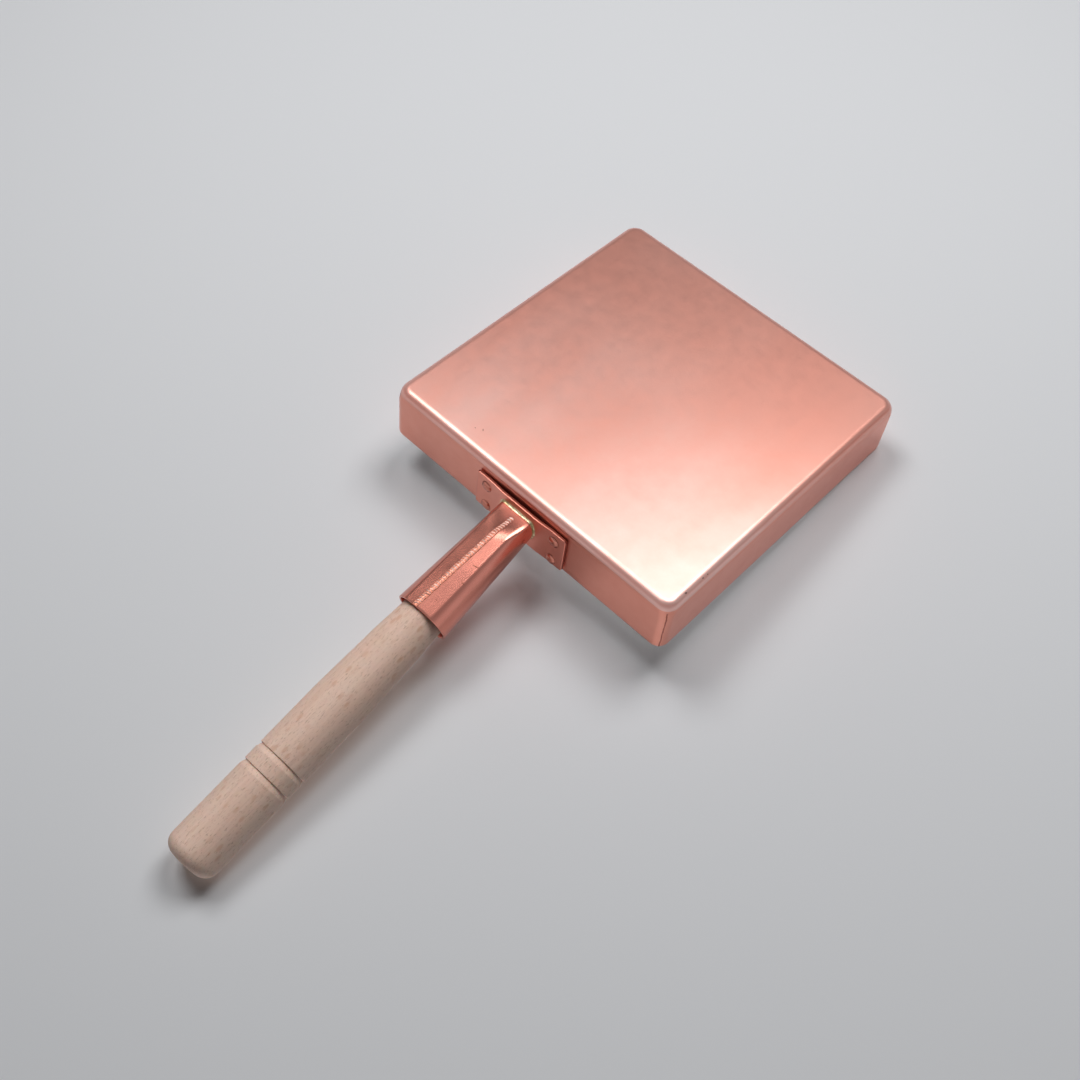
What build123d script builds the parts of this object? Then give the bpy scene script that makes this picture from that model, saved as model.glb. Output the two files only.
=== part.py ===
from build123d import *

import os
from math import cos, radians, sin, tan

# A square copper omelette pan that stands on its base: a tray folded from one sheet,
# tinned inside, with a riveted plate, a rolled copper socket and a turned wooden handle.
# The origin is the centre of the base's underside, +Z is up, and the handle runs to -Y.

# Tray
pan_width = 180.0  # outside the rim, left to right
pan_length = 180.0  # outside the rim, front to back
pan_height = 32.0
copper_wall = 1.5
wall_flare = 1.4  # degrees that each wall leans out
base_edge_radius = 3.1  # outside, where the base turns up into the walls
inside_bevel = 1.0  # the same bend seen from inside, drawn plain
corner_radius = 3.7  # outside, at the foot of each upright corner
tin_wall = 0.1  # thicker than real tinning, which is a few hundredths
corner_slit = 0.5  # gap between the folded walls that the braze fills
corner_slit_start = 4.4  # height at which the folded corner opens

# Plate on the front wall
plate_width = 58.0
plate_height = 23.6
plate_wall = 1.5
plate_corner = 1.6
plate_drop = 1.0  # from the rim down to the plate
plate_hump = 1.1  # how far the plate is pressed out under the socket
plate_ramp = 4.0  # run of each slope beside the hump
plate_bend_radius = 4.0
hump_margin = 0.8  # flat of the hump outside the braze

# Rivets
rivet_shank_radius = 1.6
rivet_clearance = 0.05
rivet_head_radius = 2.8
rivet_head_height = 1.7
rivet_dome_bands = 2
rivet_dome_turn = 80.0  # degrees that the dome turns before its flat crown
rivet_inner_radius = 2.9
rivet_inner_height = 0.8
rivet_from_end = 7.1  # from the plate's ends to the rivets
rivet_from_edge = 3.1  # from the plate's upper edge to the upper rivets
rivet_rows = 14.0  # from the upper rivets down to the lower ones

# Handle line
handle_rise = 12.8  # degrees above level
handle_swing = 2.0  # degrees to the side, as this hand-brazed one stands
handle_offset = 0.85  # of the socket's root from the middle of the wall
handle_drop = 13.0  # from the plate's upper edge down to the handle line

# Socket, measured along the handle line from the plate
socket_length = 66.0
socket_wall = 1.0
root_radius = 11.0
mouth_radius = 14.35
# The sheet stays flat beside the seam, so the underside is two flats that meet in a low ridge
ridge_start = 13.0
start_ridge = 10.2  # from the handle line down to the ridge, where it starts
mouth_ridge = 13.4
start_seam_shift = -0.6  # of the ridge to the right of the handle line
mouth_seam_shift = 1.5
flat_reach = 8.1  # from the handle line across to the outer edge of each flat at the mouth
press_under = 6.0  # from the handle line down to the underside at the root, where it is pressed in
press_end = 8.0  # where the press has faded out
press_radius = 24.0  # of the hollow that the press leaves
seam_slit = 0.8
seam_width = 3.2
seam_height = 0.35
seam_start = 6.0
braze_leg = 1.4  # of the fillet round the root
braze_lip = 0.12  # where the fillet thins out on the tube
braze_steps = 2
braze_round = 4.0  # of the fillet's lower corners, under the pressed root

# Turned handle, measured along the handle line from the plate
handle_length = 214.2
grip_radius = 13.35
neck_radius = 11.2  # where it enters the socket
grip_start = 121.0  # where it is full
shoulder_start = 84.0  # where it swells more slowly
shoulder_radius = 12.25
tenon_start = 30.0
tenon_tip_radius = 9.5
groove_start = 154.8
groove_pitch = 9.8
groove_depth = 0.9
groove_slope = 2.8  # run of the sloping side, beyond the step
groove_count = 2
butt_round = 6.6
butt_bands = 3

os.makedirs("parts", exist_ok=True)

flare = radians(wall_flare)
base_width = pan_width - 2 * pan_height * tan(flare)
base_length = pan_length - 2 * pan_height * tan(flare)

# The front wall's outer face: local X to the right, Y up the wall, Z outwards
front_wall = Plane(
    origin=(0, -base_length / 2, 0), x_dir=(1, 0, 0), z_dir=(0, -cos(flare), -sin(flare))
)
plate_high = pan_height / cos(flare) - plate_drop
rivet_across = plate_width / 2 - rivet_from_end
rivet_heights = {
    "upper": plate_high - rivet_from_edge,
    "lower": plate_high - rivet_from_edge - rivet_rows,
}


def save(part, name):
    part.part.label = name
    export_step(part.part, f"parts/{name}.step")


def tray_block(inset):
    # The tray's form as a solid, pulled in by the inset on every side but the rim
    shift = 2 * (inset * tan(flare) - inset / cos(flare))
    inside_base = Plane.XY.offset(inset)
    with BuildPart() as block:
        with BuildSketch(inside_base):
            RectangleRounded(base_width + shift, base_length + shift, corner_radius - inset)
        extrude(amount=pan_height - inset)
        draft(block.faces().filter_by(Axis.Z, reverse=True), inside_base, -wall_flare)
        bend = block.faces().sort_by(Axis.Z)[0].edges()
        if inset:
            chamfer(bend, length=inside_bevel)
        else:
            fillet(bend, radius=base_edge_radius)
    return block.part


def rivet_places():
    return [
        (f"rivet_{level}_{side}", front_wall.from_local_coords((way * rivet_across, height, 0)))
        for level, height in rivet_heights.items()
        for side, way in (("left", -1), ("right", 1))
    ]


def rivet_holes():
    depth = copper_wall + tin_wall + plate_wall + rivet_head_height
    for _, place in rivet_places():
        with Locations(Plane(place, x_dir=front_wall.x_dir, z_dir=front_wall.z_dir)):
            Cylinder(rivet_shank_radius + rivet_clearance, 2 * depth, mode=Mode.SUBTRACT)


def corner_box(across, along, mode):
    # A thin upright slab across the corner's arc, on its diagonal
    middle = Vector(
        across * (base_width / 2 - corner_radius),
        along * (base_length / 2 - corner_radius),
        corner_slit_start,
    )
    with Locations(Location(middle, (0, 0, 45 * across * along))):
        Box(
            4 * corner_radius,
            corner_slit,
            pan_height,
            align=(Align.CENTER, Align.CENTER, Align.MIN),
            mode=mode,
        )


# The tray before its corners are brazed
with BuildPart() as folded_sheet:
    add(tray_block(0))
    add(tray_block(copper_wall), mode=Mode.SUBTRACT)
    rivet_holes()

corners = [
    (f"corner_braze_{end}_{side}", across, along)
    for end, along in (("front", -1), ("back", 1))
    for side, across in (("left", -1), ("right", 1))
]

with BuildPart() as pan_body:
    add(folded_sheet.part)
    for _, across, along in corners:
        corner_box(across, along, Mode.SUBTRACT)
save(pan_body, "pan_body")

for name, across, along in corners:
    with BuildPart() as corner_braze:
        add(folded_sheet.part)
        corner_box(across, along, Mode.INTERSECT)
    save(corner_braze, name)

with BuildPart() as tin_lining:
    add(tray_block(copper_wall))
    add(tray_block(copper_wall + tin_wall), mode=Mode.SUBTRACT)
    rivet_holes()
save(tin_lining, "tin_lining")

# Plate, drawn as its edge seen from above and cut to its height
hump_half = handle_offset + root_radius + braze_leg + hump_margin
plate_edge = Plane(
    front_wall.from_local_coords((0, plate_high, 0)),
    x_dir=front_wall.x_dir,
    z_dir=-front_wall.y_dir,
)
with BuildPart() as handle_plate:
    with BuildSketch(plate_edge) as edge_profile:
        with BuildLine():
            Polyline(
                (-plate_width / 2, 0),
                (-hump_half - plate_ramp, 0),
                (-hump_half, plate_hump),
                (hump_half, plate_hump),
                (hump_half + plate_ramp, 0),
                (plate_width / 2, 0),
                (plate_width / 2, plate_wall),
                (hump_half + plate_ramp, plate_wall),
                (hump_half, plate_hump + plate_wall),
                (-hump_half, plate_hump + plate_wall),
                (-hump_half - plate_ramp, plate_wall),
                (-plate_width / 2, plate_wall),
                close=True,
            )
        make_face()
        bends = edge_profile.vertices().filter_by_position(
            Axis.X, -hump_half - plate_ramp, hump_half + plate_ramp
        )
        fillet(bends, radius=plate_bend_radius)
    extrude(amount=plate_height)
    fillet(
        handle_plate.edges().filter_by(Axis((0, 0, 0), front_wall.z_dir)), radius=plate_corner
    )
    rivet_holes()
save(handle_plate, "handle_plate")

# Rivets, turned about the line of their holes
wall_stack = copper_wall + tin_wall
dome_turns = [
    radians(rivet_dome_turn * band / rivet_dome_bands) for band in range(rivet_dome_bands + 1)
]
for name, place in rivet_places():
    rivet_axis = Axis(place, front_wall.z_dir)
    half_section = Plane(
        place, x_dir=front_wall.x_dir, z_dir=front_wall.x_dir.cross(front_wall.z_dir)
    )
    with BuildPart() as rivet:
        with BuildSketch(half_section):
            with BuildLine():
                foot = -wall_stack - rivet_inner_height
                dome = [
                    (rivet_head_radius * cos(turn), plate_wall + rivet_head_height * sin(turn))
                    for turn in dome_turns
                ]
                Polyline(
                    *dome,
                    (0, dome[-1][-1]),
                    (0, foot),
                    (rivet_inner_radius, foot),
                    (rivet_inner_radius, -wall_stack),
                    (rivet_shank_radius, -wall_stack),
                    (rivet_shank_radius, plate_wall),
                    close=True,
                )
            make_face()
        revolve(axis=rivet_axis)
    save(rivet, name)

# The handle line starts on the plate's raised face
root = front_wall.from_local_coords(
    (handle_offset, plate_high - handle_drop, plate_wall + plate_hump)
)


def facing(rise, swing):
    up, aside = radians(rise), radians(swing)
    return Vector(-sin(aside) * cos(up), -cos(aside) * cos(up), sin(up))


handle_way = facing(handle_rise, handle_swing)
handle_axis = Axis(root, handle_way)
across_handle = Vector(cos(radians(handle_swing)), -sin(radians(handle_swing)), 0)
root_plane = Plane(root, x_dir=front_wall.x_dir, z_dir=front_wall.z_dir)
mouth_plane = Plane(root + handle_way * socket_length, x_dir=across_handle, z_dir=handle_way)
profile_plane = Plane(root, x_dir=handle_way, z_dir=across_handle.cross(handle_way).cross(handle_way))


def on_cut(distance, across, up):
    # A point on a cut square to the handle line
    return mouth_plane.from_local_coords((across, up, distance - socket_length))


# Both ends of the ridge, and the planes of the two flats
ridge_foot = on_cut(ridge_start, start_seam_shift, -start_ridge)
ridge_mouth = on_cut(socket_length, mouth_seam_shift, -mouth_ridge)
reach_depth = (mouth_radius**2 - flat_reach**2) ** 0.5


def flat_plane(reach):
    # Through the ridge and the flat's outer edge at the mouth, facing down
    normal = (ridge_mouth - ridge_foot).cross(on_cut(socket_length, reach, -reach_depth) - ridge_foot)
    return Plane(ridge_foot, z_dir=normal if normal.Z < 0 else -normal)


# The hollow at the root, as a round bar across the tube's underside
press_foot = on_cut(0, 0, -press_under)
press_tip = on_cut(press_end, 0, -start_ridge)
press_down = (press_tip - press_foot).cross(across_handle).normalized()
press_sink = (press_radius**2 - ((press_tip - press_foot).length / 2) ** 2) ** 0.5
press_bar = Plane(
    (press_foot + press_tip) / 2 + press_down * (press_sink if press_down.Z < 0 else -press_sink),
    z_dir=across_handle,
)


def tube_block(grow):
    # The tube as a solid, grown on every side, and running on past both of its ends
    spare = root_radius + mouth_radius
    spread = spare * (mouth_radius - root_radius) / socket_length
    with BuildPart() as block:
        with BuildSketch(profile_plane):
            with BuildLine():
                Polyline(
                    (-spare, 0),
                    (-spare, root_radius + grow - spread),
                    (socket_length + spare, mouth_radius + grow + spread),
                    (socket_length + spare, 0),
                    close=True,
                )
            make_face()
        revolve(axis=handle_axis)
        for reach in (-flat_reach, flat_reach):
            split(bisect_by=flat_plane(reach).offset(grow), keep=Keep.BOTTOM)
        with Locations(press_bar):
            Cylinder(press_radius - grow, 2 * spare, mode=Mode.SUBTRACT)
    return block.part


def cut_ends():
    split(bisect_by=root_plane, keep=Keep.TOP)
    split(bisect_by=mouth_plane, keep=Keep.BOTTOM)


def seam_slab(width, mode):
    # An upright slab from the handle line down, along the ridge
    middle = on_cut(ridge_start, start_seam_shift, 0)
    far = on_cut(socket_length, mouth_seam_shift, 0)
    with Locations(Plane(middle, x_dir=across_handle, z_dir=far - middle)):
        Box(
            width,
            2 * mouth_radius,
            2 * handle_length,
            align=(Align.CENTER, Align.MAX, Align.CENTER),
            mode=mode,
        )


with BuildPart() as handle_socket:
    add(tube_block(0))
    add(tube_block(-socket_wall), mode=Mode.SUBTRACT)
    cut_ends()
    seam_slab(seam_slit, Mode.SUBTRACT)
save(handle_socket, "handle_socket")

# What fills the slit, from the plate to the mouth
with BuildPart() as seam_web:
    add(tube_block(0))
    seam_slab(seam_slit, Mode.INTERSECT)

with BuildPart() as socket_seam:
    # A low bead along the ridge, over that web
    add(tube_block(seam_height))
    seam_slab(seam_width, Mode.INTERSECT)
    split(bisect_by=mouth_plane.offset(seam_start - socket_length), keep=Keep.TOP)
    add(seam_web.part)
    add(tube_block(-socket_wall), mode=Mode.SUBTRACT)
    cut_ends()
    add(handle_socket.part, mode=Mode.SUBTRACT)
save(socket_seam, "socket_seam")


def braze_section(distance, grow):
    # The tube's outline beside the plate, grown all round
    with BuildSketch(root_plane.offset(distance)) as section:
        with Locations((0, (root_radius - press_under) / 2)):
            Rectangle(2 * (root_radius + grow), root_radius + press_under + 2 * grow)
        fillet(section.vertices().group_by(Axis.Y)[0], radius=braze_round)
        fillet(section.vertices().sort_by(Axis.Y)[-2:], radius=root_radius - braze_round / 2)
    return section.sketch


with BuildPart() as root_braze:
    # A hollow fillet: each step stands a quarter turn's share further up the tube and in
    turns = [radians(90 * step / braze_steps) for step in range(braze_steps + 1)]
    loft(
        [
            braze_section(braze_leg * (1 - cos(turn)), braze_lip + braze_leg * (1 - sin(turn)))
            for turn in turns
        ],
        ruled=True,
    )
    add(tube_block(0), mode=Mode.SUBTRACT)
    add(socket_seam.part, mode=Mode.SUBTRACT)
save(root_braze, "root_braze")

# Turned handle, drawn as its half section along the handle line
butt_turns = [radians(90 * band / butt_bands) for band in range(butt_bands + 1)]
butt = [
    (handle_length - butt_round * (1 - sin(turn)), grip_radius - butt_round * (1 - cos(turn)))
    for turn in butt_turns
]
with BuildPart() as wooden_handle:
    with BuildSketch(profile_plane) as half_profile:
        with BuildLine():
            Polyline(
                (tenon_start, 0),
                (tenon_start, tenon_tip_radius),
                (socket_length, neck_radius),
                (shoulder_start, shoulder_radius),
                (grip_start, grip_radius),
                *butt,
                (handle_length, 0),
                close=True,
            )
        make_face()
        for turn in range(groove_count):
            start = groove_start + turn * groove_pitch
            with BuildLine():
                Polyline(
                    (start, grip_radius),
                    (start, grip_radius - groove_depth),
                    (start + groove_slope, grip_radius),
                    close=True,
                )
            make_face(mode=Mode.SUBTRACT)
    revolve(axis=handle_axis)
save(wooden_handle, "wooden_handle")
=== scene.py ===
from math import atan2, cos, pi, radians, sin, sqrt, tan

import bmesh
import bpy
from mathutils import Matrix, Vector, noise


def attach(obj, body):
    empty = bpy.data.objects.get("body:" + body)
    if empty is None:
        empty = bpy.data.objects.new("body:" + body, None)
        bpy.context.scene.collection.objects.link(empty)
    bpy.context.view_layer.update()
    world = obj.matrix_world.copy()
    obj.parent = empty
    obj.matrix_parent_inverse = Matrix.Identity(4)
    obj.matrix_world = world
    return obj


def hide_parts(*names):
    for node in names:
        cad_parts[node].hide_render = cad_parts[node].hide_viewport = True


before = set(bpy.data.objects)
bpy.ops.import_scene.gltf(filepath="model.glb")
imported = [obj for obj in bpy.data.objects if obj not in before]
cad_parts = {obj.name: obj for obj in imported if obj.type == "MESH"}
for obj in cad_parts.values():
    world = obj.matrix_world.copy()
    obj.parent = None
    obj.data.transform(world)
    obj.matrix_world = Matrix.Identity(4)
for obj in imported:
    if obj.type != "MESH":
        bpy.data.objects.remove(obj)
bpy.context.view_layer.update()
mm = 0.001  # the shapes below are in millimetres, the materials and lamps in metres
print("frame loaded:", len(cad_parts), "nodes")


# small helpers for shapes
def addObject(name, data):
    thing = bpy.data.objects.new(name, data)
    bpy.context.scene.collection.objects.link(thing)
    return thing


def makePiece(name, verts, faces, material, sharp=40):
    mesh = bpy.data.meshes.new(name)
    mesh.from_pydata([tuple(Vector(v) * mm) for v in verts], [], faces)
    work = bmesh.new()
    work.from_mesh(mesh)
    bmesh.ops.remove_doubles(work, verts=work.verts, dist=1e-7)
    bmesh.ops.recalc_face_normals(work, faces=work.faces)
    work.to_mesh(mesh)
    work.free()
    mesh.shade_smooth()
    mesh.set_sharp_from_angle(angle=radians(sharp))
    mesh.materials.append(material)
    return addObject(name, mesh)


def finishPiece(piece, slot, *nodes):
    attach(piece, "root")
    if nodes:
        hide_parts(*nodes)


def gridFaces(rows, cols, closed=True):
    faces = []
    for i in range(rows - 1):
        for j in range(cols if closed else cols - 1):
            k = (j + 1) % cols
            a, b = i * cols, (i + 1) * cols
            faces.append((a + j, a + k, b + k, b + j))
    return faces


def circle(count):
    return [k / count * 2 * pi for k in range(count)]


def quarter(steps):
    return [k / steps * pi / 2 for k in range(steps + 1)]


def between(a, b, share):
    return a + (b - a) * share


def ease(x):
    x = min(max(x, 0), 1)
    return x * x * (3 - 2 * x)


def softMin(a, b, k):
    h = max(k - abs(a - b), 0) / k
    return min(a, b) - h * h * k / 4


def sway(x, y=0.0, z=0.0):
    return noise.noise(Vector((x, y, z)))


def turned(profile, columns, place):
    # a turned form, with a ring of points for each radius and height
    verts = [
        place(along, radius * cos(turn), radius * sin(turn))
        for radius, along in profile for turn in circle(columns)
    ]
    return verts, gridFaces(len(profile), columns)


# small helpers for node trees
def fill(tree, node, values):
    # a socket is linked, and anything else is the input's own value
    for key, value in values.items():
        if isinstance(value, bpy.types.NodeSocket):
            tree.links.new(value, node.inputs[key])
        else:
            node.inputs[key].default_value = value


def addNode(tree, kind, inputs=None, **settings):
    node = tree.nodes.new(kind)
    for key, value in settings.items():
        setattr(node, key, value)
    fill(tree, node, inputs or {})
    return node


def ramp(tree, factor, *stops):
    node = addNode(tree, "ShaderNodeValToRGB", {"Fac": factor})
    for point, (place, value) in zip(node.color_ramp.elements, stops):
        point.position = place
        point.color = (value, value, value, 1)
    return node.outputs["Color"]


def mask(tree, factor, low, high):
    return ramp(tree, factor, (low, 0.0), (high, 1.0))


def sums(tree, operation, a, b=0.0, c=0.0, clamp=False):
    values = {0: a, 1: b, 2: c}
    return addNode(tree, "ShaderNodeMath", values, operation=operation, use_clamp=clamp).outputs[0]


def mixed(tree, where, base, over, share=1.0):
    if share < 1:
        where = sums(tree, "MULTIPLY", where, share)
    base, over = [v if isinstance(v, bpy.types.NodeSocket) else (*v, 1) for v in (base, over)]
    values = {0: where, 6: base, 7: over}  # the node's factor and its two colours
    return addNode(tree, "ShaderNodeMix", values, data_type="RGBA").outputs[2]


def remap(tree, value, fromMin, fromMax, toMin, toMax, kind="LINEAR"):
    values = {
        "Value": value, "From Min": fromMin, "From Max": fromMax, "To Min": toMin, "To Max": toMax,
    }
    return addNode(tree, "ShaderNodeMapRange", values, interpolation_type=kind).outputs[0]


def noiseAt(tree, vector, scale, detail=3.0, rough=0.5):
    values = {"Vector": vector, "Scale": scale, "Detail": detail, "Roughness": rough}
    return addNode(tree, "ShaderNodeTexNoise", values).outputs["Fac"]


def stretched(tree, vector, scale, turn=(0, 0, 0), shift=(0, 0, 0)):
    values = {"Vector": vector, "Scale": scale, "Rotation": turn, "Location": shift}
    return addNode(tree, "ShaderNodeMapping", values).outputs["Vector"]


def relief(tree, height, strength, distance):
    values = {"Height": height, "Strength": strength, "Distance": distance}
    return addNode(tree, "ShaderNodeBump", values).outputs["Normal"]


def parts(tree, vector):
    return addNode(tree, "ShaderNodeSeparateXYZ", {0: vector}).outputs


def newMaterial(name, **values):
    material = bpy.data.materials.new(name)
    material.use_nodes = True
    tree = material.node_tree
    shader = tree.nodes["Principled BSDF"]
    fill(tree, shader, {key.replace("_", " "): value for key, value in values.items()})
    place = addNode(tree, "ShaderNodeTexCoord").outputs["Object"]
    return material, tree, shader, place


# copper skin, shared by every copper piece: mottled colour, rubbed patches, drawing lines
skin = {
    "cloud": (16, 3, 0.5), "mottle": (130, 4, 0.6), "grain": (1400, 2, 0.6), "lines": (60, 4, 0.7),
    "cloudShare": 0.7, "patchEdges": (0.36, 0.66), "grainEdges": (0.3, 0.8), "grainDeep": 0.10,
    "mottleRough": 0.10, "linesRough": 0.05,
    "linesHigh": 0.05, "grainHigh": 0.008, "mottleHigh": 0.12, "distance": 0.0006,
}


def buildCopperSkin():
    group = bpy.data.node_groups.new("copperSkin", "ShaderNodeTree")
    for name, kind, value in (
        ("Vector", "NodeSocketVector", (0, 0, 0)),
        ("Tone", "NodeSocketColor", (0.9, 0.45, 0.36, 1)),
        ("Deep", "NodeSocketColor", (0.7, 0.28, 0.2, 1)),
        ("Deepening", "NodeSocketFloat", 0.3),
        ("Rough", "NodeSocketFloat", 0.3),
        ("Lines", "NodeSocketVector", (1, 30, 1)),
    ):
        socket = group.interface.new_socket(name=name, in_out="INPUT", socket_type=kind)
        socket.default_value = value
    for name, kind in (("Color", "Color"), ("Roughness", "Float"), ("Height", "Float")):
        kind = "NodeSocket" + kind
        group.interface.new_socket(name=name, in_out="OUTPUT", socket_type=kind)
    given = addNode(group, "NodeGroupInput").outputs
    values = {0: given["Vector"], 1: given["Lines"]}
    lineSpace = addNode(group, "ShaderNodeVectorMath", values, operation="MULTIPLY").outputs[0]
    cloud, mottle, grain = [
        noiseAt(group, given["Vector"], *skin[name]) for name in ("cloud", "mottle", "grain")
    ]
    lines = noiseAt(group, lineSpace, *skin["lines"])

    patch = sums(group, "MULTIPLY", mottle, 1 - skin["cloudShare"])
    patch = sums(group, "MULTIPLY_ADD", cloud, skin["cloudShare"], patch)
    share = sums(group, "MULTIPLY", mask(group, patch, *skin["patchEdges"]), given["Deepening"])
    colour = mixed(group, share, given["Tone"], given["Deep"])
    grainMask = mask(group, grain, *skin["grainEdges"])
    colour = mixed(group, grainMask, colour, given["Deep"], skin["grainDeep"])

    rough = sums(group, "MULTIPLY_ADD", mottle, skin["mottleRough"], -skin["mottleRough"] / 2)
    rough = sums(group, "ADD", rough, given["Rough"], clamp=True)
    offLine = sums(group, "SUBTRACT", lines, 0.5)
    rough = sums(group, "MULTIPLY_ADD", offLine, skin["linesRough"], rough, clamp=True)

    height = cloud
    for layer, share in ((lines, "linesHigh"), (grain, "grainHigh"), (mottle, "mottleHigh")):
        height = sums(group, "MULTIPLY_ADD", layer, skin[share], height)
    values = {"Color": colour, "Roughness": rough, "Height": height}
    addNode(group, "NodeGroupOutput", values)
    return group


copperSkin = buildCopperSkin()


def copperMaterial(name, tone, deep, deepening=0.5, rough=0.3, lines=(1, 1, 1), bump=0.2):
    material, tree, shader, place = newMaterial(name, Metallic=1.0)
    values = {
        "Vector": place, "Tone": (*tone, 1), "Deep": (*deep, 1),
        "Deepening": deepening, "Rough": rough, "Lines": lines,
    }
    made = addNode(tree, "ShaderNodeGroup", values, node_tree=copperSkin).outputs
    fill(tree, shader, {
        "Base Color": made["Color"], "Roughness": made["Roughness"],
        "Normal": relief(tree, made["Height"], bump, skin["distance"]),
    })
    return material


def marked(material, tone, marks, edge=2.5, share=0.85):
    # small dark marks: each a place in mm, a turn about Z and half sizes in mm
    tree = material.node_tree
    shader = tree.nodes["Principled BSDF"]
    place = tree.nodes["Texture Coordinate"].outputs["Object"]
    every = None
    for spot, turn, sizes in marks:
        values = {
            "Vector": place, "Location": [v * mm for v in spot], "Rotation": (0, 0, turn),
            "Scale": [v * mm for v in sizes],
        }
        near = addNode(tree, "ShaderNodeMapping", values, vector_type="TEXTURE").outputs["Vector"]
        ball = addNode(tree, "ShaderNodeTexGradient", {"Vector": near}, gradient_type="SPHERICAL")
        ball = sums(tree, "MULTIPLY", ball.outputs["Fac"], edge, clamp=True)
        every = ball if every is None else sums(tree, "MAXIMUM", every, ball)
    plain = shader.inputs["Base Color"].links[0].from_socket
    fill(tree, shader, {"Base Color": mixed(tree, every, plain, tone, share)})


# tray
tray = {
    "size": 180.0, "height": 32.0, "flare": 1.4, "wall": 1.5, "tin": 0.1, "tinClear": 0.02,
    "edgeRound": 4.4, "cornerRound": 5.2, "cornerMore": 2.6, "cornerMoreUpTo": 9,
    "rimRound": 0.3, "rimSoft": 0.3, "flatEdge": 0.5,
    "sideSteps": 24, "cornerSteps": 12, "bendSteps": 8, "wallStops": (8, 14, 20, 26, 30),
    "foldMark": ((0.3, 0.10), (0.6, 0.12), (0.95, 0.02), (1.3, 0.0)),  # past the bend, and in
    "baseUpTo": 3.2,  # where the polished base's copper gives way to the walls'
    "baseTone": (0.71, 0.335, 0.265), "baseDeep": (0.68, 0.275, 0.205),
    # the paler base tone, where it starts and how much of it, paint a highlight onto the base
    # towards the front edge
    "baseHighlightTone": (0.72, 0.475, 0.425), "highlightFrom": (-0.09, 0.06), "highlightShare": 0.9,
    "bandStretch": (1, 0.22, 1), "bandScale": 17, "bandEdges": (0.40, 0.64), "bandShare": 0.5,
    "markTone": (0.16, 0.06, 0.045),
    "marks": (
        ((-87.2, -75.5, 0.6), 0.3, (0.5, 0.9, 0.6)), ((-87.4, -63.7, 0.7), 0, (0.35, 0.6, 0.5)),
        ((-87.5, -60.5, 0.9), 0, (0.3, 0.4, 0.4)), ((40.5, -76.7, 0), 0.8, (0.9, 0.3, 0.5)),
        ((44.0, -78.5, 0), 0.2, (0.5, 0.3, 0.5)),
    ),
}
lean = radians(tray["flare"])
halfBase = tray["size"] / 2 - tray["height"] * tan(lean)
panCopper = copperMaterial(
    "panCopper", tray["baseTone"], tray["baseDeep"], rough=0.42, lines=(14, 1, 1), bump=0.10,
)
tree = panCopper.node_tree
fill(tree, tree.nodes["Principled BSDF"], {"Coat Weight": 0.8, "Coat Roughness": 0.35})
place = tree.nodes["Texture Coordinate"].outputs["Object"]
# the base is painted paler towards the handle, a painted highlight, and has soft darker bands
paintedHighlight = remap(
    tree, parts(tree, place)["Y"], *tray["highlightFrom"], tray["highlightShare"], 0.0, "SMOOTHSTEP",
)
bands = noiseAt(tree, stretched(tree, place, tray["bandStretch"]), tray["bandScale"], 2)
bands = mask(tree, bands, *tray["bandEdges"])
tone = mixed(tree, paintedHighlight, tray["baseTone"], tray["baseHighlightTone"])
tone = mixed(tree, bands, tone, tray["baseDeep"], tray["bandShare"])
fill(tree, tree.nodes["Group"], {"Tone": tone})
wallCopper = copperMaterial(
    "wallCopper", (0.79, 0.335, 0.255), (0.68, 0.25, 0.18), rough=0.34, lines=(1, 1, 12), bump=0.12,
)


def cornerAt(z):  # the corners are rounder near the base
    return tray["cornerRound"] + tray["cornerMore"] * (1 - ease(z / tray["cornerMoreUpTo"]))


def trayStations(cornerRound):
    # the middle of the corner's round, and the way out, for each point round the tray
    reach = halfBase - cornerRound
    corners = ((1, 1), (-1, 1), (-1, -1), (1, -1))
    stations = []
    for corner, (sx, sy) in enumerate(corners):
        nextX, nextY = corners[(corner + 1) % 4]
        start = corner * pi / 2
        for bit in quarter(tray["cornerSteps"]):
            stations.append((sx * reach, sy * reach, cos(start + bit), sin(start + bit)))
        turn = start + pi / 2
        for k in range(1, tray["sideSteps"]):
            share = k / tray["sideSteps"]
            x, y = reach * between(sx, nextX, share), reach * between(sy, nextY, share)
            stations.append((x, y, cos(turn), sin(turn)))
    return stations


def bendProfile(inset):
    # the base-edge bend, from under the base out and up to the wall
    spread = tray["edgeRound"] / cos(lean) - tray["edgeRound"] * tan(lean)
    radius = tray["edgeRound"] - inset
    steps = tray["bendSteps"]
    turns = [k / steps * (pi / 2 - lean) for k in range(steps + 1)]
    return [(spread - radius * sin(a), tray["edgeRound"] - radius * cos(a)) for a in turns]


def wallInset(inset, height):
    return inset / cos(lean) - height * tan(lean)


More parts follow.
